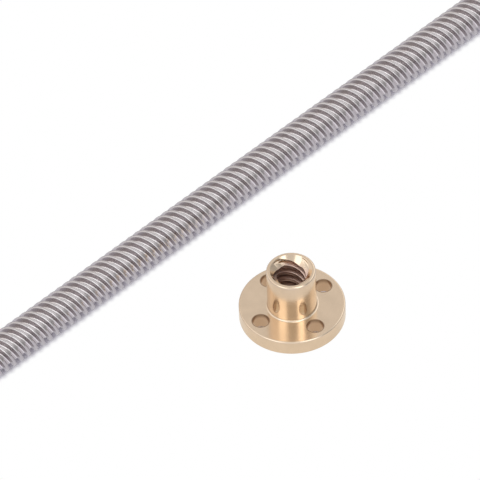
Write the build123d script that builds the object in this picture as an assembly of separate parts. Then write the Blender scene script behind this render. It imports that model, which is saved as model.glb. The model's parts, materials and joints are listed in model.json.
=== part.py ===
from build123d import *
import math
import os

# A four-start trapezoidal lead screw, Tr8x8(P2), lying on its side, and its round-flanged nut,
# which has been run off the screw and stands on its short end beside it. All sizes are in
# millimetres. +X runs along the screw's axis from the centre of its first end face, and +Z is up.

# Thread, shared by the screw and the nut
nominal_diameter = 8.0
thread_pitch = 2.0
thread_starts = 4
thread_angle = 30.0
crest_clearance = 0.25
flank_clearance = 0.05

# Screw
screw_length = 160.0
screw_end_chamfer = 1.0
screw_turn = 12.3

# Nut, worked outwards from the thread's root: the barrel's wall, the land between the barrel and the
# bolt holes, the holes, and the land between the holes and the flange's rim
barrel_wall = 0.85
inner_land = 1.15
bolt_hole_diameter = 3.5
bolt_hole_count = 4
outer_land = 1.25
flange_thickness = 3.5
barrel_height = 10.0
pilot_height = 1.5
bore_mouth_margin = 0.1
bore_mouth_angle = 90.0
flange_edge_break = 0.3
barrel_edge_break = 0.4
barrel_root_fillet = 0.4
nut_thread_turn = -22.0

# Where the nut stands: its distance along the screw, its clear gap to the screw, and its turn
nut_station = 56.2
nut_gap = 18.3
nut_turn = -7.7

# Sizes that follow from the ones above
lead = thread_pitch * thread_starts
start_step = 360.0 / thread_starts
screw_radius = nominal_diameter / 2
pitch_radius = screw_radius - thread_pitch / 4
screw_root_radius = screw_radius - thread_pitch / 2 - crest_clearance
nut_crest_radius = screw_radius - thread_pitch / 2
nut_root_radius = screw_radius + crest_clearance
barrel_radius = nut_root_radius + barrel_wall
bolt_circle_radius = barrel_radius + inner_land + bolt_hole_diameter / 2
flange_radius = bolt_circle_radius + bolt_hole_diameter / 2 + outer_land
bore_mouth_radius = nut_root_radius + bore_mouth_margin
nut_height = pilot_height + flange_thickness + barrel_height
cutter_overrun = 1.0
cutter_margin = 0.2
floor_height = -screw_radius
nut_offset = -(screw_radius + nut_gap + flange_radius)


def polar(radius, degrees):
    """A point of the thread's cross-section, by its radius and its angle."""
    return (radius * math.cos(math.radians(degrees)), radius * math.sin(math.radians(degrees)))


def half_angle(radius, widening):
    """Half of the angle that one tooth covers at a radius, where its flanks are moved outwards
    by widening. A length along the axis is an angle here, because the section turns with the lead."""
    half_width = thread_pitch / 4 + (pitch_radius - radius) * math.tan(math.radians(thread_angle / 2))
    return (half_width + widening) / lead * 360.0


def curve_through(first, middle, last):
    """A quadratic curve that passes the middle point half way. On arcs as short as a tooth's it lies
    within a micrometre of the circle, and it turns into far lighter helical faces than an arc does."""
    handle = tuple(2 * m - (f + l) / 2 for f, m, l in zip(first, middle, last))
    return Bezier(first, handle, last)


def thread_section(tip_radius, valley_radius, widening):
    """The cross-section of the thread, square to its axis: one tooth for each start."""
    tip, valley = half_angle(tip_radius, widening), half_angle(valley_radius, widening)
    middle_radius = (tip_radius + valley_radius) / 2
    middle = half_angle(middle_radius, widening)
    with BuildSketch() as section:
        with BuildLine():
            for start in range(thread_starts):
                at = start * start_step
                after = at + start_step
                tip_end, next_tip = polar(tip_radius, at + tip), polar(tip_radius, after - tip)
                valley_start, valley_end = polar(valley_radius, at + valley), polar(valley_radius, after - valley)
                curve_through(polar(tip_radius, at - tip), polar(tip_radius, at), tip_end)
                curve_through(tip_end, polar(middle_radius, at + middle), valley_start)
                curve_through(valley_start, polar(valley_radius, at + start_step / 2), valley_end)
                curve_through(valley_end, polar(middle_radius, after - middle), next_tip)
        make_face()
    return section.sketch.face()


def threaded_core(section, length, turn):
    """A right-hand multi-start thread along +Z from the plane z = 0, made by turning its section."""
    core = Solid.extrude_linear_with_rotation(section, (0, 0, 0), (0, 0, length), 360.0 * length / lead)
    return Rot(0, 0, turn) * core


def end_trim():
    """What the ends are faced and chamfered to, along +Z. Between its cones it stands clear of the
    thread by a margin, so that the crests keep their own surface."""
    wide = screw_radius + cutter_margin
    taper = screw_end_chamfer + cutter_margin
    profile = [(0, 0), (wide - taper, 0), (wide, taper)]
    profile += [(radius, screw_length - height) for radius, height in reversed(profile)]
    with BuildPart() as trim:
        with BuildSketch(Plane.XZ):
            with BuildLine():
                Polyline(*profile, close=True)
            make_face()
        revolve(axis=Axis.Z)
    return trim.part


def lead_screw():
    """The threaded bar, laid along +X with its thread running out at both ends."""
    section = thread_section(screw_radius, screw_root_radius, -flank_clearance)
    core = threaded_core(section, screw_length + 2 * lead, screw_turn)
    screw = (Pos(0, 0, -lead) * core) & end_trim()
    return Rot(0, 90, 0) * screw


def nut_body():
    """The turned body along +Z from its pilot's end: pilot, flange and barrel, with no bore."""
    flange_top = pilot_height + flange_thickness
    with BuildPart() as body:
        with BuildSketch(Plane.XZ):
            with BuildLine():
                Polyline(
                    (0, 0),
                    (barrel_radius, 0),
                    (barrel_radius, pilot_height),
                    (flange_radius, pilot_height),
                    (flange_radius, flange_top),
                    (barrel_radius, flange_top),
                    (barrel_radius, nut_height),
                    (0, nut_height),
                    close=True,
                )
            make_face()
        revolve(axis=Axis.Z)
        circles = body.edges().filter_by(GeomType.CIRCLE)
        rims = circles.filter_by(lambda edge: abs(edge.radius - flange_radius) < 1e-6)
        chamfer(rims, flange_edge_break)
        circles = body.edges().filter_by(GeomType.CIRCLE).sort_by(Axis.Z)
        chamfer([circles[0], circles[-1]], barrel_edge_break)
        root = body.edges().filter_by(GeomType.CIRCLE).filter_by(
            lambda edge: abs(edge.radius - barrel_radius) < 1e-6 and abs(edge.center().Z - flange_top) < 1e-6
        )
        fillet(root, barrel_root_fillet)
    return body.part


def bore_mouth():
    """The countersink that opens one end of the bore, with its wide end at z = 0."""
    slope = math.tan(math.radians(bore_mouth_angle / 2))
    wide_radius = bore_mouth_radius + cutter_overrun * slope
    depth = bore_mouth_radius / slope
    cone = Cone(wide_radius, 0, depth + cutter_overrun, align=(Align.CENTER, Align.CENTER, Align.MIN))
    return Pos(0, 0, -cutter_overrun) * cone


def bolt_holes():
    """The through holes of the flange, on their circle."""
    hole = Cylinder(bolt_hole_diameter / 2, flange_thickness + 2 * cutter_overrun)
    height = pilot_height + flange_thickness / 2
    return Pos(0, 0, height) * PolarLocations(bolt_circle_radius, bolt_hole_count) * hole


def flange_nut():
    """The nut, bored, countersunk, threaded and drilled, standing where it was set down."""
    section = thread_section(nut_root_radius, nut_crest_radius, 0.0)
    thread = Pos(0, 0, -cutter_overrun) * threaded_core(section, nut_height + 2 * cutter_overrun, nut_thread_turn)
    nut = nut_body() - thread
    nut -= bore_mouth()
    nut -= Pos(0, 0, nut_height) * Rot(180, 0, 0) * bore_mouth()
    nut -= bolt_holes()
    return Pos(nut_station, nut_offset, floor_height) * Rot(0, 0, nut_turn) * nut


pieces = {"lead_screw": lead_screw(), "flange_nut": flange_nut()}

os.makedirs("parts", exist_ok=True)
for name, piece in pieces.items():
    piece.label = name
    export_step(piece, f"parts/{name}.step")
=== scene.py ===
import json
import math

import bmesh
import bpy
from mathutils import Matrix, Vector


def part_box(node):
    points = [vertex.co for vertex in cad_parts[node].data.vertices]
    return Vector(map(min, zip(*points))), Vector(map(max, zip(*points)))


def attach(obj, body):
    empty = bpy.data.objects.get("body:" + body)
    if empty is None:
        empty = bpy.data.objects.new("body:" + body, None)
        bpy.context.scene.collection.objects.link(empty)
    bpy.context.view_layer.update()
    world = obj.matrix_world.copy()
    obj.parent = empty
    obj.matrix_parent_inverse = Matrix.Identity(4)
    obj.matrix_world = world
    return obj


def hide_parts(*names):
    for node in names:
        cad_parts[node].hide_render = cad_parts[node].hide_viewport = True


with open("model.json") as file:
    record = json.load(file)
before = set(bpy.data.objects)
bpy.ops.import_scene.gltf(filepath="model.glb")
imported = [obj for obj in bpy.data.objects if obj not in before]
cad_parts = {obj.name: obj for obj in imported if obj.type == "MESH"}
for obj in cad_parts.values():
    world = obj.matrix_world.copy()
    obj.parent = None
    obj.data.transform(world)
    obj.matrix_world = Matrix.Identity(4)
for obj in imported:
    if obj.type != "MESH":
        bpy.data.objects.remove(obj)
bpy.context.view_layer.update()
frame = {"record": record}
mounts = {mount["name"]: mount for mount in frame["record"]["mounts"]}

bl_info = {
    "name": "Trapezoidal Lead Screw",
    "version": (1, 0, 0),
    "blender": (4, 5, 0),
    "location": "3D View > Sidebar > Lead Screw",
    "description": "Builds a multi-start trapezoidal lead screw and its flanged nut",
    "category": "Object",
}

MM = 0.001

# How finely the round shapes are divided
STEPS_PER_TURN = 40
PROFILE_FILLET_POINTS = 5
NUT_SEGMENTS = 144
CUTTER_SEGMENTS = 96
HOLE_SEGMENTS = 48
FLOOR_SEGMENTS = 64
EDGE_STEPS = 5
FILLET_STEPS = 6

# How far cutters and the untrimmed screw reach past the shape that is kept
CUTTER_OVERRUN = 1 * MM
SCREW_OVERRUN = 2 * MM

# The edges that bend more than this many degrees are shaded sharp
SCREW_SHARP_ANGLE = 40
NUT_SHARP_ANGLE = 32


class ThreadSizes(bpy.types.PropertyGroup):
    """The thread that the screw and the nut share."""

    diameter: bpy.props.FloatProperty(
        name="Diameter",
        description="Diameter over the screw's crests",
        default=2 * mounts["screw_thread"]["dims"]["r_mm"] * MM,
        subtype="DISTANCE",
    )
    pitch: bpy.props.FloatProperty(
        name="Pitch",
        description="Distance from one crest to the next, along the axis",
        default=2 * MM,
        subtype="DISTANCE",
    )
    starts: bpy.props.IntProperty(
        name="Starts",
        description="Number of separate threads that wind round the screw side by side",
        default=4,
        min=1,
    )
    flank_angle: bpy.props.FloatProperty(
        name="Flank Angle",
        description="Angle between the two flanks of one groove",
        default=math.radians(30),
        subtype="ANGLE",
    )
    crest_clearance: bpy.props.FloatProperty(
        name="Crest Clearance",
        description="Room between one part's crests and the other's roots",
        default=0.25 * MM,
        subtype="DISTANCE",
    )
    flank_clearance: bpy.props.FloatProperty(
        name="Flank Clearance",
        description="How much each flank of the screw is set back, so that the nut runs freely",
        default=0.05 * MM,
        subtype="DISTANCE",
    )
    crest_radius: bpy.props.FloatProperty(
        name="Crest Radius",
        description="Rounding of the thread's crests, in its cross-section and as far as there is room",
        default=0.6 * MM,
        subtype="DISTANCE",
    )
    root_radius: bpy.props.FloatProperty(
        name="Root Radius",
        description="Rounding of the grooves' corners, in its cross-section and as far as there is room",
        default=0.85 * MM,
        subtype="DISTANCE",
    )


class ScrewSizes(bpy.types.PropertyGroup):
    """The threaded bar."""

    length: bpy.props.FloatProperty(
        name="Length",
        description="Length of the bar between its end faces",
        default=mounts["screw_thread"]["dims"]["length_mm"] * MM,
        subtype="DISTANCE",
    )
    end_chamfer: bpy.props.FloatProperty(
        name="End Chamfer",
        description="Chamfer of the bar's two ends",
        default=1.0 * MM,
        subtype="DISTANCE",
    )
    root_fill: bpy.props.FloatProperty(
        name="Root Fill",
        description="How much shallower the grooves are than the thread's full depth",
        default=0.15 * MM,
        subtype="DISTANCE",
    )
    turn: bpy.props.FloatProperty(
        name="Turn",
        description="How far the bar is turned about its axis",
        default=math.radians(16.8),
        subtype="ANGLE",
    )


class NutSizes(bpy.types.PropertyGroup):
    """The flanged nut."""

    flange_diameter: bpy.props.FloatProperty(
        name="Flange Diameter",
        description="Outside diameter of the round flange",
        default=22 * MM,
        subtype="DISTANCE",
    )
    flange_thickness: bpy.props.FloatProperty(
        name="Flange Thickness",
        description="Thickness of the flange",
        default=3.5 * MM,
        subtype="DISTANCE",
    )
    barrel_diameter: bpy.props.FloatProperty(
        name="Barrel Diameter",
        description="Outside diameter of the barrel and of the pilot",
        default=2 * mounts["nut_barrel"]["dims"]["r_mm"] * MM,
        subtype="DISTANCE",
    )
    barrel_height: bpy.props.FloatProperty(
        name="Barrel Height",
        description="Height of the barrel above the flange",
        default=10 * MM,
        subtype="DISTANCE",
    )
    pilot_height: bpy.props.FloatProperty(
        name="Pilot Height",
        description="Height of the short pilot below the flange",
        default=1.5 * MM,
        subtype="DISTANCE",
    )
    hole_diameter: bpy.props.FloatProperty(
        name="Hole Diameter",
        description="Diameter of the bolt holes",
        default=2 * mounts["nut_bolts"]["dims"]["hole_r_mm"] * MM,
        subtype="DISTANCE",
    )
    hole_circle: bpy.props.FloatProperty(
        name="Hole Circle",
        description="Diameter of the circle on which the bolt holes lie",
        default=mounts["nut_bolts"]["dims"]["pcd_mm"] * MM,
        subtype="DISTANCE",
    )
    hole_count: bpy.props.IntProperty(
        name="Holes",
        description="Number of bolt holes",
        default=mounts["nut_bolts"]["dims"]["count"],
        min=3,
    )
    mouth_diameter: bpy.props.FloatProperty(
        name="Mouth Diameter",
        description="Wide diameter of the bore's countersinks",
        default=8.7 * MM,
        subtype="DISTANCE",
    )
    flange_edge: bpy.props.FloatProperty(
        name="Flange Edge Break",
        description="Size of the flange's broken edges",
        default=0.3 * MM,
        subtype="DISTANCE",
    )
    barrel_edge: bpy.props.FloatProperty(
        name="Barrel Edge Break",
        description="Size of the barrel's and the pilot's broken edges",
        default=0.4 * MM,
        subtype="DISTANCE",
    )
    root_fillet: bpy.props.FloatProperty(
        name="Root Fillet",
        description="Radius in the corner between the barrel and the flange",
        default=0.4 * MM,
        subtype="DISTANCE",
    )
    turn: bpy.props.FloatProperty(
        name="Turn",
        description="How far the nut is turned about its axis",
        default=math.radians(-7.7),
        subtype="ANGLE",
    )
    thread_turn: bpy.props.FloatProperty(
        name="Thread Turn",
        description="How far the bore's thread is turned from the first bolt hole",
        default=math.radians(-22),
        subtype="ANGLE",
    )


class Finishes(bpy.types.PropertyGroup):
    """The colours of the metals."""

    steel: bpy.props.FloatVectorProperty(
        name="Steel",
        description="Colour of the polished steel",
        default=(0.6, 0.577, 0.587),
        subtype="COLOR",
        min=0,
        max=1,
    )
    steel_grooves: bpy.props.FloatVectorProperty(
        name="Steel Grooves",
        description="Colour of the duller steel at the bottom of the grooves",
        default=(0.57, 0.53, 0.54),
        subtype="COLOR",
        min=0,
        max=1,
    )
    brass: bpy.props.FloatVectorProperty(
        name="Brass",
        description="Colour of the turned brass",
        default=(0.766, 0.619, 0.468),
        subtype="COLOR",
        min=0,
        max=1,
    )
    brass_bore: bpy.props.FloatVectorProperty(
        name="Brass Bore",
        description="Colour of the duller brass inside the bore",
        default=(0.64, 0.48, 0.41),
        subtype="COLOR",
        min=0,
        max=1,
    )


class StudioSettings(bpy.types.PropertyGroup):
    """The floor, the lamps and the surroundings."""

    floor: bpy.props.FloatVectorProperty(
        name="Floor",
        description="Colour of the floor",
        default=(0.8, 0.78, 0.88),
        subtype="COLOR",
        min=0,
        max=1,
    )
    surroundings: bpy.props.FloatProperty(
        name="Surroundings",
        description="Brightness of the pale room that the metals reflect",
        default=0.8,
        min=0,
    )
    floor_glow: bpy.props.FloatProperty(
        name="Floor Glow",
        description="Brightness of the floor that the metals reflect",
        default=0.84,
        min=0,
    )
    softbox_brightness: bpy.props.FloatProperty(
        name="Softbox Brightness",
        description="Brightness of the two soft lamps beside the camera",
        default=1.0,
        min=0,
    )


class Value:
    """A socket of a node tree. Maths on it adds Math nodes to its tree."""

    def __init__(self, graph, socket):
        self.graph = graph
        self.socket = socket

    def output(self, name):
        """Another output of the same node."""
        return Value(self.graph, pick(self.socket.node.outputs, name))

    def __add__(self, other):
        return self.graph.maths("ADD", self, other)

    def __sub__(self, other):
        return self.graph.maths("SUBTRACT", self, other)

    def __rsub__(self, other):
        return self.graph.maths("SUBTRACT", other, self)

    def __mul__(self, other):
        return self.graph.maths("MULTIPLY", self, other)

    def __truediv__(self, other):
        return self.graph.maths("DIVIDE", self, other)

    def __rtruediv__(self, other):
        return self.graph.maths("DIVIDE", other, self)

    def __lt__(self, other):
        return self.graph.maths("LESS_THAN", self, other)

    def __gt__(self, other):
        return self.graph.maths("GREATER_THAN", self, other)

    __radd__ = __add__
    __rmul__ = __mul__


class Graph:
    """A node tree that is written as Python expressions."""

    def __init__(self, tree):
        self.tree = tree

    def node(self, kind, settings=None, sockets=None, output=0):
        """Adds a node: its settings first, then the values or links of its sockets.
        A list makes several links to one socket."""
        made = self.tree.nodes.new(kind)
        for name, value in (settings or {}).items():
            setattr(made, name, value)
        for key, value in (sockets or {}).items():
            socket = pick(made.inputs, key)
            for one in value if isinstance(value, list) else [value]:
                if isinstance(one, Value):
                    self.tree.links.new(one.socket, socket)
                else:
                    socket.default_value = one
        return Value(self, pick(made.outputs, output)) if made.outputs else None

    def maths(self, operation, *values):
        return self.node("ShaderNodeMath", {"operation": operation}, dict(enumerate(values)))

    def blend(self, share, low, high):
        """The number low where share is 0 and high where it is 1."""
        return low + share * (high - low)

    def colour(self, share, low, high):
        """The colour low where share is 0 and high where it is 1."""
        sockets = {"Factor": share, "A": low, "B": high}
        return self.node("ShaderNodeMix", {"data_type": "RGBA"}, sockets, "Result")

    def layered(self, colour, layers):
        """A colour with others laid over it in turn, each with its share."""
        for share, over in layers:
            colour = self.colour(share, colour, over)
        return colour

    def vector(self, x, y, z):
        return self.node("ShaderNodeCombineXYZ", None, {"X": x, "Y": y, "Z": z})

    def parts(self, vector):
        """The X, Y and Z of a vector."""
        split = self.node("ShaderNodeSeparateXYZ", None, {"Vector": vector})
        return split, split.output("Y"), split.output("Z")

    def length(self, across, along):
        """The length of a vector with these two parts."""
        return self.maths("SQRT", across * across + along * along)

    def step(self, value, low, high):
        """A soft step from 0 at low to 1 at high."""
        settings = {"interpolation_type": "SMOOTHSTEP"}
        sockets = {"Value": value, "From Min": low, "From Max": high}
        return self.node("ShaderNodeMapRange", settings, sockets)

    def between(self, value, rise, fall):
        """1 between two soft steps, one up and one down, each from its low to its high end."""
        return self.step(value, *rise) * (1 - self.step(value, *fall))

    def noise(self, vector, scale, detail, roughness):
        sockets = {"Vector": vector, "Scale": scale, "Detail": detail, "Roughness": roughness}
        return self.node("ShaderNodeTexNoise", None, sockets)


def pick(sockets, key):
    """A socket by its number, or by its name among the ones in use."""
    if isinstance(key, int):
        return sockets[key]
    return next(socket for socket in sockets if socket.enabled and socket.name == key)


def new_tree(name, inputs):
    """A geometry node tree with these named inputs, its graph and the values of the inputs."""
    tree = bpy.data.node_groups.new(name, "GeometryNodeTree")
    for label, kind in inputs:
        tree.interface.new_socket(label, in_out="INPUT", socket_type=kind)
    tree.interface.new_socket("Geometry", in_out="OUTPUT", socket_type="NodeSocketGeometry")
    graph = Graph(tree)
    source = tree.nodes.new("NodeGroupInput")
    return tree, graph, {label: Value(graph, source.outputs[label]) for label, kind in inputs}


def end_tree(graph, geometry, material):
    """Ends a tree with real geometry of one material."""
    real = graph.node("GeometryNodeRealizeInstances", None, {"Geometry": geometry})
    done = graph.node("GeometryNodeSetMaterial", None, {"Geometry": real, "Material": material})
    sink = graph.tree.nodes.new("NodeGroupOutput")
    graph.tree.links.new(done.socket, sink.inputs[0])


def link(name, mesh):
    """A new object with this mesh, in the scene."""
    made = bpy.data.objects.new(name, mesh)
    bpy.context.scene.collection.objects.link(made)
    return made


def plain_mesh(piece):
    """Turns what a piece's modifiers make into its own plain mesh."""
    bpy.context.view_layer.update()
    graph = bpy.context.evaluated_depsgraph_get()
    mesh = bpy.data.meshes.new_from_object(piece.evaluated_get(graph), depsgraph=graph)
    piece.modifiers.clear()
    old = piece.data
    piece.data = mesh
    mesh.name = piece.name
    bpy.data.meshes.remove(old)
    return piece


def grow(name, tree, values):
    """A plain mesh object of what a tree makes from these values."""
    piece = link(name, bpy.data.meshes.new(name + "_start"))
    modifier = piece.modifiers.new(tree.name, "NODES")
    modifier.node_group = tree
    for item in tree.interface.items_tree:
        if item.in_out == "INPUT" and item.name in values:
            modifier[item.identifier] = values[item.name]
    return plain_mesh(piece)


THREAD_INPUTS = [
    ("Diameter", "NodeSocketFloat"),
    ("Pitch", "NodeSocketFloat"),
    ("Starts", "NodeSocketInt"),
    ("Flank Angle", "NodeSocketFloat"),
    ("Tip Radius", "NodeSocketFloat"),
    ("Valley Radius", "NodeSocketFloat"),
    ("Widening", "NodeSocketFloat"),
    ("Tip Rounding", "NodeSocketFloat"),
    ("Valley Rounding", "NodeSocketFloat"),
    ("Length", "NodeSocketFloat"),
    ("Overrun", "NodeSocketFloat"),
    ("Turn", "NodeSocketFloat"),
    ("Steps per Turn", "NodeSocketInt"),
    ("End Chamfer", "NodeSocketFloat"),
    ("Material", "NodeSocketMaterial"),
]
# Points of the cross-section along one tooth's tip, and along the valley after it
TIP_POINTS = 3
VALLEY_POINTS = 3


def thread_profile(graph, given, lead):
    """The thread's cross-section: a closed line with one tooth for each start, its corners rounded."""
    tooth_points = TIP_POINTS + VALLEY_POINTS
    index = graph.node("GeometryNodeInputIndex")
    tooth = graph.maths("FLOOR", index / tooth_points)
    place = index - tooth * tooth_points
    on_tip = place < TIP_POINTS - 0.5
    slope = graph.maths("TANGENT", given["Flank Angle"] / 2)
    pitch_radius = given["Diameter"] / 2 - given["Pitch"] / 4

    def half_angle(radius):
        half_width = given["Pitch"] / 4 + (pitch_radius - radius) * slope + given["Widening"]
        return half_width / lead * math.tau

    step = math.tau / given["Starts"]
    tip, valley = half_angle(given["Tip Radius"]), half_angle(given["Valley Radius"])
    over_tip = tip * (place * (2 / (TIP_POINTS - 1)) - 1)
    over_valley = valley + (step - valley * 2) * ((place - TIP_POINTS) / (VALLEY_POINTS - 1))
    angle = tooth * step + graph.blend(on_tip, over_valley, over_tip)
    radius = graph.blend(on_tip, given["Valley Radius"], given["Tip Radius"])
    point = graph.vector(radius * graph.maths("COSINE", angle), radius * graph.maths("SINE", angle), 0.0)
    corners = 0.0
    for corner in (0, TIP_POINTS - 1, TIP_POINTS, tooth_points - 1):
        corners = graph.maths("COMPARE", place, corner, 0.5) + corners
    circle = graph.node(
        "GeometryNodeCurvePrimitiveCircle",
        {"mode": "RADIUS"},
        {"Resolution": given["Starts"] * tooth_points, "Radius": given["Tip Radius"]},
    )
    line = graph.node("GeometryNodeSetPosition", None, {"Geometry": circle, "Position": point})
    corner_radius = graph.blend(on_tip, given["Valley Rounding"], given["Tip Rounding"])
    rounding = {"Curve": line, "Count": PROFILE_FILLET_POINTS}
    rounding |= {"Radius": corner_radius * corners, "Limit Radius": True}
    return graph.node("GeometryNodeFilletCurve", {"mode": "POLY"}, rounding)


def thread_tree():
    """The tree of a right-hand multi-start thread along +Z, from z = 0. Its cross-section is swept along
    the axis and turned as it goes. A thread with an end chamfer is trimmed by two cones."""
    tree, graph, given = new_tree("Multi-start thread", THREAD_INPUTS)
    lead = given["Pitch"] * given["Starts"]
    start = 0 - given["Overrun"]
    end = given["Length"] + given["Overrun"]
    ends = {"Start": graph.vector(0.0, 0.0, start), "End": graph.vector(0.0, 0.0, end)}
    line = graph.node("GeometryNodeCurvePrimitiveLine", {"mode": "POINTS"}, ends)
    steps = graph.maths("CEIL", (end - start) / lead * given["Steps per Turn"]) + 1
    spine = graph.node("GeometryNodeResampleCurve", {"mode": "COUNT"}, {"Curve": line, "Count": steps})
    swept = {"Curve": spine, "Profile Curve": thread_profile(graph, given, lead), "Fill Caps": True}
    straight = graph.node("GeometryNodeCurveToMesh", None, swept)
    place = graph.node("GeometryNodeInputPosition")
    along = graph.node("ShaderNodeSeparateXYZ", None, {"Vector": place}, "Z")
    turning = {"Vector": place, "Angle": along * (math.tau / lead) + given["Turn"]}
    turned = graph.node("ShaderNodeVectorRotate", {"rotation_type": "Z_AXIS"}, turning)
    thread = graph.node("GeometryNodeSetPosition", None, {"Geometry": straight, "Position": turned})
    narrow = given["Diameter"] / 2 - given["End Chamfer"]
    wide = narrow + given["Length"]
    trims = []
    for top, bottom in ((wide, narrow), (narrow, wide)):
        cone = {"Vertices": CUTTER_SEGMENTS, "Depth": given["Length"]}
        cone |= {"Radius Top": top, "Radius Bottom": bottom}
        trims.append(graph.node("GeometryNodeMeshCone", {"fill_type": "NGON"}, cone))
    cut = {"operation": "INTERSECT", "solver": "MANIFOLD"}
    trimmed = graph.node("GeometryNodeMeshBoolean", cut, {1: [thread, *trims]})
    chosen = {"Switch": given["End Chamfer"] > 0, "False": thread, "True": trimmed}
    shaped = graph.node("GeometryNodeSwitch", {"input_type": "GEOMETRY"}, chosen)
    end_tree(graph, shaped, given["Material"])
    return tree


def thread_values(sizes, tip, valley, roundings, widening, length, overrun, turn, chamfer, material):
    """The values of a thread's inputs. The roundings are those of its tips and of its valleys."""
    return {
        "Diameter": sizes.diameter,
        "Pitch": sizes.pitch,
        "Starts": sizes.starts,
        "Flank Angle": sizes.flank_angle,
        "Tip Radius": tip,
        "Valley Radius": valley,
        "Widening": widening,
        "Tip Rounding": roundings[0],
        "Valley Rounding": roundings[1],
        "Length": length,
        "Overrun": overrun,
        "Turn": turn,
        "Steps per Turn": STEPS_PER_TURN,
        "End Chamfer": chamfer,
        "Material": material,
    }


def hole_tree():
    """The tree of a ring of equal round cutters, such as a flange's bolt holes."""
    inputs = [
        ("Circle Radius", "NodeSocketFloat"),
        ("Count", "NodeSocketInt"),
        ("Hole Radius", "NodeSocketFloat"),
        ("Depth", "NodeSocketFloat"),
        ("Height", "NodeSocketFloat"),
        ("Material", "NodeSocketMaterial"),
    ]
    tree, graph, given = new_tree("Ring of holes", inputs)
    circle = {"Vertices": given["Count"], "Radius": given["Circle Radius"]}
    ring = graph.node("GeometryNodeMeshCircle", None, circle)
    move = {"Geometry": ring, "Translation": graph.vector(0.0, 0.0, given["Height"])}
    placed = graph.node("GeometryNodeTransform", None, move)
    round_cutter = {"Vertices": HOLE_SEGMENTS, "Radius": given["Hole Radius"], "Depth": given["Depth"]}
    cutter = graph.node("GeometryNodeMeshCylinder", {"fill_type": "NGON"}, round_cutter)
    holes = graph.node("GeometryNodeInstanceOnPoints", None, {"Points": placed, "Instance": cutter})
    end_tree(graph, holes, given["Material"])
    return tree


def outward(piece):
    """Turns a closed mesh's faces outwards."""
    shell = bmesh.new()
    shell.from_mesh(piece.data)
    bmesh.ops.recalc_face_normals(shell, faces=shell.faces)
    if shell.calc_volume(signed=True) < 0:
        bmesh.ops.reverse_faces(shell, faces=shell.faces)
    shell.to_mesh(piece.data)
    shell.free()


def smooth(piece, angle):
    """Shades a piece smooth, with sharp edges where it bends more than angle degrees."""
    piece.data.shade_smooth()
    piece.data.set_sharp_from_angle(angle=math.radians(angle))


def lathe(name, profile, segments):
    """A turned solid about the Z axis, from a line of (radius, height) points that starts and ends on it."""
    shell = bmesh.new()
    rings = []
    for radius, height in profile:
        if radius == 0:
            rings.append([shell.verts.new((0, 0, height))] * segments)
        else:
            rings.append(
                [
                    shell.verts.new((radius * math.cos(turn), radius * math.sin(turn), height))
                    for turn in (math.tau * i / segments for i in range(segments))
                ]
            )
    for low, high in zip(rings, rings[1:]):
        for i in range(segments):
            j = (i + 1) % segments
            corners = [low[i], low[j], high[j], high[i]]
            shell.faces.new(list(dict.fromkeys(corners)))
    mesh = bpy.data.meshes.new(name)
    shell.to_mesh(mesh)
    shell.free()
    return link(name, mesh)


def arc(centre, radius, first, last, steps):
    """Points of an arc in (radius, height), between two angles in degrees."""
    return [
        (
            centre[0] + radius * math.cos(math.radians(first + (last - first) * i / steps)),
            centre[1] + radius * math.sin(math.radians(first + (last - first) * i / steps)),
        )
        for i in range(steps + 1)
    ]


def nut_profile(nut):
    """The nut's outline, from the bottom of its axis to the top, with softly broken edges. A point near
    each end of an arc keeps the shading of the flat faces flat."""
    barrel, flange = nut.barrel_diameter / 2, nut.flange_diameter / 2
    low, high = nut.pilot_height, nut.pilot_height + nut.flange_thickness
    top = high + nut.barrel_height
    small, edge, root = nut.barrel_edge, nut.flange_edge, nut.root_fillet
    near = 0.05 * MM
    return [
        (0, 0),
        *arc((barrel - small, small), small, -90, 0, EDGE_STEPS),
        (barrel, low),
        (flange - edge - near, low),
        *arc((flange - edge, low + edge), edge, -90, 0, EDGE_STEPS),
        (flange, low + edge + near),
        (flange, high - edge - near),
        *arc((flange - edge, high - edge), edge, 0, 90, EDGE_STEPS),
        (flange - edge - near, high),
        (barrel + root + near, high),
        *arc((barrel + root, high + root), root, 270, 180, FILLET_STEPS),
        (barrel, high + root + near),
        (barrel, top - small - near),
        *arc((barrel - small, top - small), small, 0, 90, EDGE_STEPS),
        (barrel - small - near, top),
        (0, top),
    ]


def cut_away(piece, cutters):
    """Takes the cutters away from a piece, and removes them."""
    for cutter in cutters:
        outward(cutter)
        modifier = piece.modifiers.new("Cut", "BOOLEAN")
        modifier.operation = "DIFFERENCE"
        modifier.solver = "MANIFOLD"
        modifier.object = cutter
    plain_mesh(piece)
    for cutter in cutters:
        mesh = cutter.data
        bpy.data.objects.remove(cutter)
        bpy.data.meshes.remove(mesh)


def new_material(name):
    """An empty node material and its graph."""
    material = bpy.data.materials.new(name)
    material.use_nodes = True
    material.node_tree.nodes.clear()
    return material, Graph(material.node_tree)


def end_material(graph, shader):
    graph.node("ShaderNodeOutputMaterial", None, {"Surface": shader})


def own_place(graph, centre):
    """An object's own coordinates in millimetres, from this centre, which is in metres."""
    coordinates = graph.node("ShaderNodeTexCoord", None, None, "Object")
    scaled = {"Vector": coordinates, "Scale": (1 / MM, 1 / MM, 1 / MM)}
    scaled["Location"] = tuple(-value / MM for value in centre)
    return graph.node("ShaderNodeMapping", {"vector_type": "POINT"}, scaled)


BUMP_DISTANCE = 0.02 * MM


def end_metal(graph, shade, roughness, bump_strength, height):
    """Ends a metal's tree with its colour, its roughness and its fine bumps."""
    bump = {"Strength": bump_strength, "Distance": BUMP_DISTANCE, "Height": height}
    normal = graph.node("ShaderNodeBump", None, bump)
    sockets = {"Base Color": shade, "Metallic": 1.0, "Roughness": roughness, "Normal": normal}
    end_material(graph, graph.node("ShaderNodeBsdfPrincipled", None, sockets))


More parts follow.
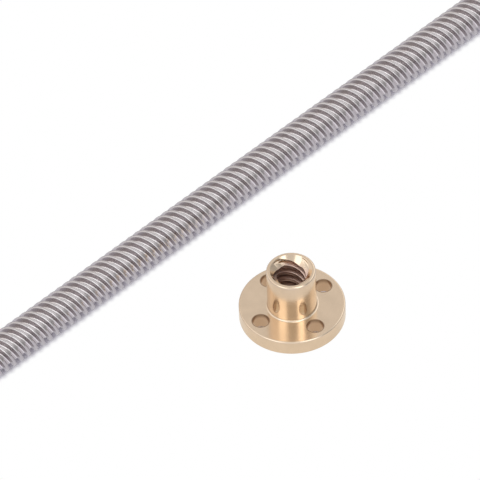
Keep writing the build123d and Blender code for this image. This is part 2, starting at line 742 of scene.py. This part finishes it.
# Colours that the steel takes on in places: painted shade on the lower flank and on the crest, a painted
# highlight line at one flank's foot, and random worn patches
PAINTED_FLANK_SHADE = (0.42, 0.39, 0.4, 1)
PAINTED_FOOT_HIGHLIGHT = (0.9, 0.87, 0.88, 1)
PAINTED_CREST_SHADE = (0.5, 0.47, 0.48, 1)
WORN_STEEL = (0.5, 0.47, 0.46, 1)

# Where the painted highlight line and the painted crest shade lie across the thread, from one crest's middle
# towards -X.
# A whole pitch is tau.
FOOT_HIGHLIGHT_PHASE = 2.4
CREST_SHADE_PHASE = -0.6


def steel_material(finishes, thread, screw_turn, valley):
    """Rolled stainless steel: bright crests, duller and browner grooves, and fine marks along the thread.
    A painted shade on the lower flank, a painted highlight line at the foot of one flank and a painted shade
    strip on the crest run along it too. Lengths in it are in millimetres."""
    material, graph = new_material("rolled_steel")
    place = own_place(graph, (0, 0, 0))
    x, y, z = graph.parts(place)
    radius = graph.length(y, z)
    above = radius - valley / MM
    crest = thread.diameter / 2 / MM
    depth = (thread.pitch / 2 + thread.crest_clearance) / MM
    groove = graph.step(radius, crest - 0.12, crest - depth * 0.9)
    turn = graph.maths("ARCTAN2", z, y) * thread.starts - x * (math.tau * MM / thread.pitch)
    phase = turn + thread.starts * (math.pi / 2 - screw_turn)

    def strip(middle, low, high):
        """A soft strip along the thread. It ends where the cosine of the way from its middle is low."""
        return graph.step(graph.maths("COSINE", phase - middle), low, high)

    along = graph.vector(graph.maths("COSINE", turn), graph.maths("SINE", turn), radius * 3)
    marks = graph.noise(along, 14.0, 3.0, 0.6)
    cloud = graph.noise(place, 0.35, 3.0, 0.55)
    grain = graph.noise(place, 6.0, 2.0, 0.6)
    layers = [
        (groove, (*finishes.steel_grooves, 1)),
        # painted shade: a darker band on the lower part of the flanks
        (graph.between(above, (0.1, 0.25), (0.55, 0.85)) * 0.3, PAINTED_FLANK_SHADE),
        # painted highlight: a light line along the foot of one flank
        (strip(FOOT_HIGHLIGHT_PHASE, 0.86, 0.98) * (1 - graph.step(above, 0.2, 0.35)), PAINTED_FOOT_HIGHLIGHT),
        # painted shade: a darker strip along one side of the crests
        (strip(CREST_SHADE_PHASE, 0.5, 0.9) * graph.step(radius, crest - 0.2, crest - 0.1) * 0.7, PAINTED_CREST_SHADE),
        (graph.step(cloud, 0.35, 0.7) * 0.25, WORN_STEEL),
    ]
    shade = graph.layered((*finishes.steel, 1), layers)
    roughness = 0.09 + groove * 0.08 + grain * 0.08 + marks * 0.06
    end_metal(graph, shade, roughness, 0.25, marks * 0.7 + grain * 0.3)
    return material


# Colours that the brass takes on in places: stains, painted shade in the bolt holes and round their rims,
# and paler painted light on the hole walls seen only in reflections
STAIN = (0.45, 0.33, 0.2, 1)
PAINTED_HOLE_SHADE = (0.52, 0.355, 0.24, 1)
PAINTED_HOLE_LIGHT = (0.92, 0.78, 0.62, 1)
PAINTED_RIM_SHADE = (0.28, 0.19, 0.13, 1)
CLOUDED = 0.93


def bolt_hole_places(graph, nut, x, y):
    """The distance to the nearest bolt hole's axis in millimetres, and a share that is 1 on the side of
    a hole that is nearer the camera. The share is 0 from a little outside the holes on."""
    reach = 0.7 * nut.hole_diameter / MM
    across = nut.hole_circle / 2 / MM
    back = direction(CAMERA_TURN, 0.0)
    distances = []
    camera_side = 0.0
    for i in range(nut.hole_count):
        angle = nut.turn + math.tau * i / nut.hole_count
        dx, dy = x - across * math.cos(angle), y - across * math.sin(angle)
        distances.append(graph.length(dx, dy))
        within = distances[-1] < reach
        camera_side = graph.step(dx * back.x + dy * back.y, 0.1, 0.6) * within + camera_side
    nearest = distances[0]
    for distance in distances[1:]:
        nearest = graph.maths("MINIMUM", nearest, distance)
    return nearest, camera_side


def brass_material(finishes, nut, centre):
    """Turned brass: fine rings about the nut's axis, a little tarnish and a duller bore. The bolt holes get
    painted shade, with a painted shadow round their top rims. The walls of the holes that the camera sees
    only as reflections get a paler painted light instead. Lengths in it are in millimetres."""
    material, graph = new_material("turned_brass")
    place = own_place(graph, centre)
    x, y, z = graph.parts(place)
    radius = graph.length(x, y)
    rings = graph.noise(graph.vector(radius, z, 0.0), 9.0, 4.0, 0.65)
    broad = graph.noise(graph.vector(radius, z, 3.0), 1.6, 2.0, 0.5)
    cloud = graph.noise(place, 0.28, 3.0, 0.5)
    spots = graph.noise(place, 1.7, 2.0, 0.6)
    top = (nut.pilot_height + nut.flange_thickness + nut.barrel_height) / MM
    mouth = nut.mouth_diameter / 2 / MM
    inside = 1 - graph.step(radius, mouth - 0.3, mouth - 0.1)
    bore = inside * graph.step(graph.maths("MINIMUM", z, top - z), 0.9, 1.7)
    flange_top = (nut.pilot_height + nut.flange_thickness) / MM
    hole = nut.hole_diameter / 2 / MM
    nearest, camera_side = bolt_hole_places(graph, nut, x, y)
    below = 1 - graph.step(z, flange_top - 0.25, flange_top - 0.02)
    in_hole = (1 - graph.step(nearest, hole + 0.01, hole + 0.05)) * below
    at_rim = 1 - graph.step(graph.maths("ABSOLUTE", nearest - hole), 0.05, 0.26)
    on_top = graph.between(z, (flange_top - 1.3, flange_top - 0.1), (flange_top + 0.05, flange_top + 0.2))
    # where the painted shadow lies round the bolt holes' top rims; the roughness is raised there too
    rim = at_rim * on_top
    layers = [
        (graph.step(cloud, 0.3, 0.7), (*(value * CLOUDED for value in finishes.brass), 1)),
        (graph.step(spots, 0.62, 0.78) * 0.1, STAIN),
        # painted shade in the bolt holes, with paler painted light on the walls nearer the camera that show
        # only in reflections
        (in_hole * 0.9, graph.colour(camera_side, PAINTED_HOLE_SHADE, PAINTED_HOLE_LIGHT)),
        # painted shadow round the bolt holes' top rims
        (rim * 0.9, PAINTED_RIM_SHADE),
        (bore, (*finishes.brass_bore, 1)),
    ]
    shade = graph.layered((*finishes.brass, 1), layers)
    roughness = 0.12 + rings * 0.06 + cloud * 0.04 + rim * 0.09 + bore * 0.26
    end_metal(graph, shade, roughness, 0.15, rings * 0.5 + broad * 0.5)
    return material


# How far from the object its shadow reaches on the floor, and how far close to the nut
SHADOW_REACH = 2.3 * MM
NUT_SHADOW_REACH = 1.2 * MM
SHADOW_SAMPLES = 16


def floor_material(studio, hidden_place, flange_radius):
    """A floor that the camera and the metals see as white. It keeps the shadow close to the object. Round
    hidden_place, where the camera sees it only through the bolt holes, it isn't whitened for the camera.
    Near the nut, the metals see it warmer: a painted warm bounce light from the brass. Lengths in it are in
    millimetres."""
    material, graph = new_material("white_floor")
    rays = graph.node("ShaderNodeLightPath", None, None, "Is Camera Ray")
    others = graph.maths("MAXIMUM", rays.output("Is Glossy Ray"), rays.output("Is Transmission Ray"))
    x, y, _ = graph.parts(own_place(graph, hidden_place))
    off = graph.length(x, y)
    rim = flange_radius / MM
    clear = graph.step(off, rim - 0.8, rim - 0.3)
    reach = graph.blend(off < rim + 3, SHADOW_REACH, NUT_SHADOW_REACH)
    near = {"samples": SHADOW_SAMPLES}
    open_sky = graph.node("ShaderNodeAmbientOcclusion", near, {"Distance": reach}, "AO")
    white = graph.step(open_sky, 0.25, 0.8)
    share = graph.maths("MAXIMUM", rays * white * clear, others * (0.6 + white * 0.2))
    warm = 1 - graph.step(off, rim + 6, rim + 14)
    glow = studio.floor_glow
    plain = (glow * 0.98, glow * 0.96, glow, 1)
    # painted warm bounce light from the brass, seen only in reflections
    painted_warm_bounce = (glow * 1.12, glow * 1.05, glow * 0.92, 1)
    tint = graph.colour(rays, graph.colour(warm, plain, painted_warm_bounce), (1, 1, 1, 1))
    matt = graph.node("ShaderNodeBsdfDiffuse", None, {"Color": (*studio.floor, 1)})
    light = graph.node("ShaderNodeEmission", None, {"Color": tint, "Strength": 1.0})
    end_material(graph, graph.node("ShaderNodeMixShader", None, {0: share, 1: matt, 2: light}))
    return material


def white_world(studio):
    """A pale room that the camera sees as white. It is brighter on the left, most of all low in front,
    and in a band at each side, plain behind the camera, and darker low in front on the right."""
    world = bpy.data.worlds.new("pale_room")
    world.use_nodes = True
    world.node_tree.nodes.clear()
    graph = Graph(world.node_tree)
    camera = graph.node("ShaderNodeLightPath", None, None, "Is Camera Ray")
    x, y, z = graph.parts(graph.node("ShaderNodeTexCoord", None, None, "Generated"))
    right = graph.step(x, 0.0, 0.35)
    low_front = graph.step(0 - y - z * 0.75, -0.15, 0.2)
    back = direction(CAMERA_TURN, CAMERA_RISE)
    behind = graph.step(x * back.x + y * back.y + z * back.z, 0.88, 0.96)
    left = (1 - right) * (0.12 + low_front * 0.52)
    band = graph.between(z, (0.35, 0.5), (0.8, 0.9))
    sides = band * (graph.step(x, 0.5, 0.62) * 0.5 + (1 - graph.step(x, -0.25, -0.05)) * 0.28)
    room = studio.surroundings + (left + sides) * (1 - behind) - right * low_front * 0.33
    warm = graph.step(y, 0.1, 0.5) * (1 - camera)
    tint = graph.colour(warm, (1, 1, 1, 1), (1.02, 0.98, 0.95, 1))
    sockets = {"Color": tint, "Strength": graph.blend(camera, room, 1.0)}
    light = graph.node("ShaderNodeBackground", None, sockets)
    graph.node("ShaderNodeOutputWorld", None, {"Surface": light})
    bpy.context.scene.world = world


# The camera, fitted to the outlines in the photo: metres, radians, and millimetres for the lens
CAMERA_TARGET = Vector((0.06416, -0.00938, -0.004))
CAMERA_DISTANCE = 1.33816
CAMERA_TURN = -0.7353
CAMERA_RISE = 0.8184
CAMERA_ROLL = -0.0416
CAMERA_LENS = 481.19
CAMERA_SENSOR = 36
CAMERA_CLIP = (0.01, 50)

# The soft lamps: name, turn and rise as seen from the object, width, height and share of the brightness
SOFTBOX_DISTANCE = 1.0
SOFTBOX_WATTS_PER_AREA = 4
SOFTBOXES = [
    ("left_softbox", CAMERA_TURN - 0.77, 0.82, 0.5, 0.75, 0.6),
    ("right_softbox", CAMERA_TURN + 0.67, 1.05, 0.36, 0.8, 1.0),
]

# The floor's radius, in metres
FLOOR_RADIUS = 3.0


def direction(turn, rise):
    """The way from the object to a place at this turn about Z, from -Y, and this rise above the floor."""
    return Vector((math.sin(turn) * math.cos(rise), -math.cos(turn) * math.cos(rise), math.sin(rise)))


def looking(place, back, roll=0.0):
    """The matrix of a camera or a lamp at a place, with its back to the direction back."""
    right = Vector((0, 0, 1)).cross(back).normalized()
    up = back.cross(right)
    across = right * math.cos(roll) + up * math.sin(roll)
    upright = up * math.cos(roll) - right * math.sin(roll)
    turned = Matrix((across, upright, back)).transposed().to_4x4()
    return Matrix.Translation(place) @ turned


def add_camera():
    """The camera, where the photo's stood."""
    data = bpy.data.cameras.new("camera")
    data.sensor_fit = "HORIZONTAL"
    data.sensor_width = CAMERA_SENSOR
    data.lens = CAMERA_LENS
    data.clip_start, data.clip_end = CAMERA_CLIP
    camera = link("camera", data)
    back = direction(CAMERA_TURN, CAMERA_RISE)
    camera.matrix_world = looking(CAMERA_TARGET + CAMERA_DISTANCE * back, back, CAMERA_ROLL)
    bpy.context.scene.camera = camera


def add_softbox(name, turn, rise, width, height, brightness):
    """A rectangular soft lamp that faces the object."""
    data = bpy.data.lights.new(name, "AREA")
    data.shape = "RECTANGLE"
    data.size = width
    data.size_y = height
    data.energy = SOFTBOX_WATTS_PER_AREA * width * height * brightness
    back = direction(turn, rise)
    link(name, data).matrix_world = looking(CAMERA_TARGET + SOFTBOX_DISTANCE * back, back)


class OBJECT_OT_lead_screw(bpy.types.Operator):
    """Add the threaded bar"""

    bl_idname = "object.lead_screw"
    bl_label = "Add Lead Screw"
    bl_options = {"REGISTER", "UNDO"}

    def execute(self, context):
        scene = context.scene
        thread, screw = scene.lead_screw_thread, scene.lead_screw_bar
        tip = thread.diameter / 2
        valley = tip - thread.pitch / 2 - thread.crest_clearance + screw.root_fill
        steel = steel_material(scene.lead_screw_finishes, thread, screw.turn, valley)
        values = thread_values(
            thread,
            tip,
            valley,
            (thread.crest_radius, thread.root_radius),
            -thread.flank_clearance,
            screw.length,
            SCREW_OVERRUN,
            screw.turn,
            screw.end_chamfer,
            steel,
        )
        piece = grow("rolled_screw", thread_tree(), values)
        piece.data.transform(Matrix.Rotation(math.pi / 2, 4, "Y"))
        smooth(piece, SCREW_SHARP_ANGLE)
        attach(piece, "root")
        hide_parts("lead_screw")
        return {"FINISHED"}


class OBJECT_OT_flange_nut(bpy.types.Operator):
    """Add the flanged nut"""

    bl_idname = "object.flange_nut"
    bl_label = "Add Flanged Nut"
    bl_options = {"REGISTER", "UNDO"}

    def execute(self, context):
        scene = context.scene
        thread, nut = scene.lead_screw_thread, scene.lead_screw_nut
        x, y, _ = mounts["nut_bolts"]["pos_m"]
        base = Vector((x, y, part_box("flange_nut")[0].z))
        brass = brass_material(scene.lead_screw_finishes, nut, base)
        total = nut.pilot_height + nut.flange_thickness + nut.barrel_height
        body = lathe("turned_nut", nut_profile(nut), NUT_SEGMENTS)
        outward(body)
        body.data.materials.append(brass)
        tip = thread.diameter / 2 + thread.crest_clearance
        valley = thread.diameter / 2 - thread.pitch / 2
        roundings = (thread.root_radius, thread.crest_radius)
        over = CUTTER_OVERRUN
        values = thread_values(thread, tip, valley, roundings, 0.0, total, over, nut.thread_turn, 0.0, brass)
        cutters = [grow("bore_thread", thread_tree(), values)]
        wide = nut.mouth_diameter / 2 + over
        for name, height, flip in (("low_mouth", 0.0, 1), ("high_mouth", total, -1)):
            cone = lathe(name, [(0, -over), (wide, -over), (0, wide - over)], CUTTER_SEGMENTS)
            cone.data.transform(Matrix.Translation((0, 0, height)) @ Matrix.Diagonal((1, 1, flip, 1)))
            cone.data.materials.append(brass)
            cutters.append(cone)
        holes = {
            "Circle Radius": nut.hole_circle / 2,
            "Count": nut.hole_count,
            "Hole Radius": nut.hole_diameter / 2,
            "Depth": nut.flange_thickness + 2 * over,
            "Height": nut.pilot_height + nut.flange_thickness / 2,
            "Material": brass,
        }
        cutters.append(grow("bolt_holes", hole_tree(), holes))
        cut_away(body, cutters)
        body.data.transform(Matrix.Translation(base) @ Matrix.Rotation(nut.turn, 4, "Z"))
        smooth(body, NUT_SHARP_ANGLE)
        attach(body, "root")
        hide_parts("flange_nut")
        return {"FINISHED"}


class OBJECT_OT_screw_studio(bpy.types.Operator):
    """Add the floor, the lamps and the camera"""

    bl_idname = "object.screw_studio"
    bl_label = "Add Studio"
    bl_options = {"REGISTER", "UNDO"}

    def execute(self, context):
        scene = context.scene
        studio = scene.lead_screw_studio
        level = min(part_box("lead_screw")[0].z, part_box("flange_nut")[0].z)
        floor = lathe("floor", [(0, level), (FLOOR_RADIUS, level)], FLOOR_SEGMENTS)
        x, y, _ = mounts["nut_bolts"]["pos_m"]
        nut = scene.lead_screw_nut
        back = direction(CAMERA_TURN, CAMERA_RISE)
        hidden = Vector((x, y, 0)) - back / back.z * nut.pilot_height
        floor.data.materials.append(floor_material(studio, hidden, nut.flange_diameter / 2))
        white_world(studio)
        for name, turn, rise, width, height, share in SOFTBOXES:
            add_softbox(name, turn, rise, width, height, share * studio.softbox_brightness)
        add_camera()
        scene.view_settings.view_transform = "Standard"
        return {"FINISHED"}


class VIEW3D_PT_lead_screw(bpy.types.Panel):
    """The sizes, the finishes and the steps of the lead screw"""

    bl_label = "Lead Screw"
    bl_space_type = "VIEW_3D"
    bl_region_type = "UI"
    bl_category = "Lead Screw"

    def draw(self, context):
        for name, kind in PROPERTIES:
            group = getattr(context.scene, name)
            box = self.layout.box()
            for key in kind.__annotations__:
                box.prop(group, key)
        for operator in OPERATORS:
            self.layout.operator(operator.bl_idname)


PROPERTIES = [
    ("lead_screw_thread", ThreadSizes),
    ("lead_screw_bar", ScrewSizes),
    ("lead_screw_nut", NutSizes),
    ("lead_screw_finishes", Finishes),
    ("lead_screw_studio", StudioSettings),
]
OPERATORS = [OBJECT_OT_lead_screw, OBJECT_OT_flange_nut, OBJECT_OT_screw_studio]


def register():
    for name, kind in PROPERTIES:
        bpy.utils.register_class(kind)
        setattr(bpy.types.Scene, name, bpy.props.PointerProperty(type=kind))
    for kind in (*OPERATORS, VIEW3D_PT_lead_screw):
        bpy.utils.register_class(kind)


def unregister():
    for kind in (VIEW3D_PT_lead_screw, *reversed(OPERATORS)):
        bpy.utils.unregister_class(kind)
    for name, kind in reversed(PROPERTIES):
        delattr(bpy.types.Scene, name)
        bpy.utils.unregister_class(kind)


def main():
    register()
    bpy.ops.object.lead_screw()
    bpy.ops.object.flange_nut()
    bpy.ops.object.screw_studio()


if __name__ == "__main__":
    main()
